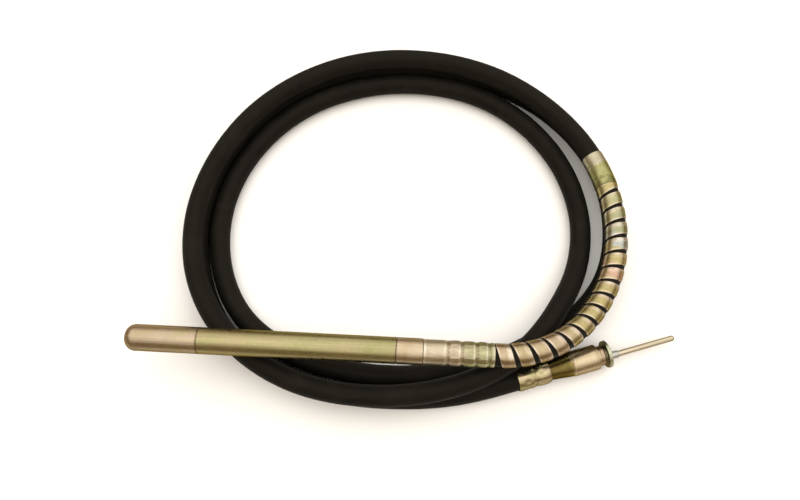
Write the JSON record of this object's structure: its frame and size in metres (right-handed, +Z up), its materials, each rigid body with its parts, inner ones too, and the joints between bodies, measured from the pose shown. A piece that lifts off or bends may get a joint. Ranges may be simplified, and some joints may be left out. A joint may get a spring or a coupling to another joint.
{
  "type": "flexible-shaft concrete vibrator",
  "caption": "Poker for settling wet concrete: a steel vibrating head driven by a flexible shaft in a coiled rubber hose, with a coupling end for a separate motor.",
  "frame": {"origin": "on the floor, under the middle of the box round the metal pieces; the hose and its inner shaft are left out of that box", "axes": "+X from the head's tip towards the drive end, +Y across the coil away from the head, +Z up"},
  "size_m": [0.912, 0.679, 0.117],
  "materials": {
    "zinc_fittings": "yellow zinc plated, satin, with brown and gold tints",
    "zinc_tube": "yellow zinc plated tube, olive gold, fine lengthwise streaks",
    "guard_steel": "plated strip, pale gold, semi-bright",
    "bright_steel": "turned or ground, bare",
    "bearing_steel": "ground and polished",
    "dark_steel": "dark, oiled",
    "hose_rubber": "matte brownish black, fine lengthwise moulding marks",
    "seal_rubber": "matte brown-black"
  },
  "bodies": {
    "vibrator": {"head_tip_cap": "zinc_fittings", "head_tube": "zinc_tube", "head_connector": "zinc_fittings", "head_hose_nipple": "bright_steel", "head_crimp_sleeve": "zinc_fittings", "front_bearing_outer_race": "bearing_steel", "rear_bearing_outer_race": "bearing_steel", "rear_oil_seal": "seal_rubber", "cap_o_ring": "seal_rubber", "connector_o_ring": "seal_rubber", "front_retaining_ring": "dark_steel", "rear_retaining_ring": "dark_steel", "rubber_hose": "hose_rubber", "flexible_shaft": "bright_steel", "spiral_guard": "guard_steel", "guard_end_sleeve": "zinc_fittings", "drive_ferrule": "zinc_fittings", "drive_nipple": "bright_steel", "drive_body": "zinc_fittings", "drive_flange": "zinc_fittings"},
    "rotor": {"eccentric_rotor": "dark_steel", "front_bearing_inner_race": "bearing_steel", "rear_bearing_inner_race": "bearing_steel", "rotor_socket": "bright_steel", "shaft_head_end": "bright_steel"},
    "front_cage": {"front_bearing_ball_cage": "dark_steel"},
    "rear_cage": {"rear_bearing_ball_cage": "dark_steel"},
    "spindle": {"drive_spindle": "bright_steel", "drive_rod": "zinc_fittings", "shaft_drive_crimp": "dark_steel"}
  },
  "joints": [
    {"name": "rotor_spin", "type": "hinge", "parent": "vibrator", "child": "rotor", "pos_m": [-0.18504, -0.15106, 0.0955], "axis": [0.9987, -0.0515, 0], "continuous": true},
    {"name": "front_cage_spin", "type": "hinge", "parent": "vibrator", "child": "front_cage", "pos_m": [-0.31412, -0.14441, 0.0955], "axis": [0.9987, -0.0515, 0], "continuous": true},
    {"name": "rear_cage_spin", "type": "hinge", "parent": "vibrator", "child": "rear_cage", "pos_m": [-0.04498, -0.15828, 0.0955], "axis": [0.9987, -0.0515, 0], "continuous": true},
    {"name": "spindle_spin", "type": "hinge", "parent": "vibrator", "child": "spindle", "pos_m": [0.3382, -0.15358, 0.019], "axis": [0.9622, 0.2723, 0], "continuous": true}
  ],
  "couplings": [
    {"joint": "front_cage_spin", "follows": "rotor_spin", "ratio": 0.392},
    {"joint": "rear_cage_spin", "follows": "rotor_spin", "ratio": 0.392},
    {"joint": "spindle_spin", "follows": "rotor_spin", "ratio": 1}
  ]
}
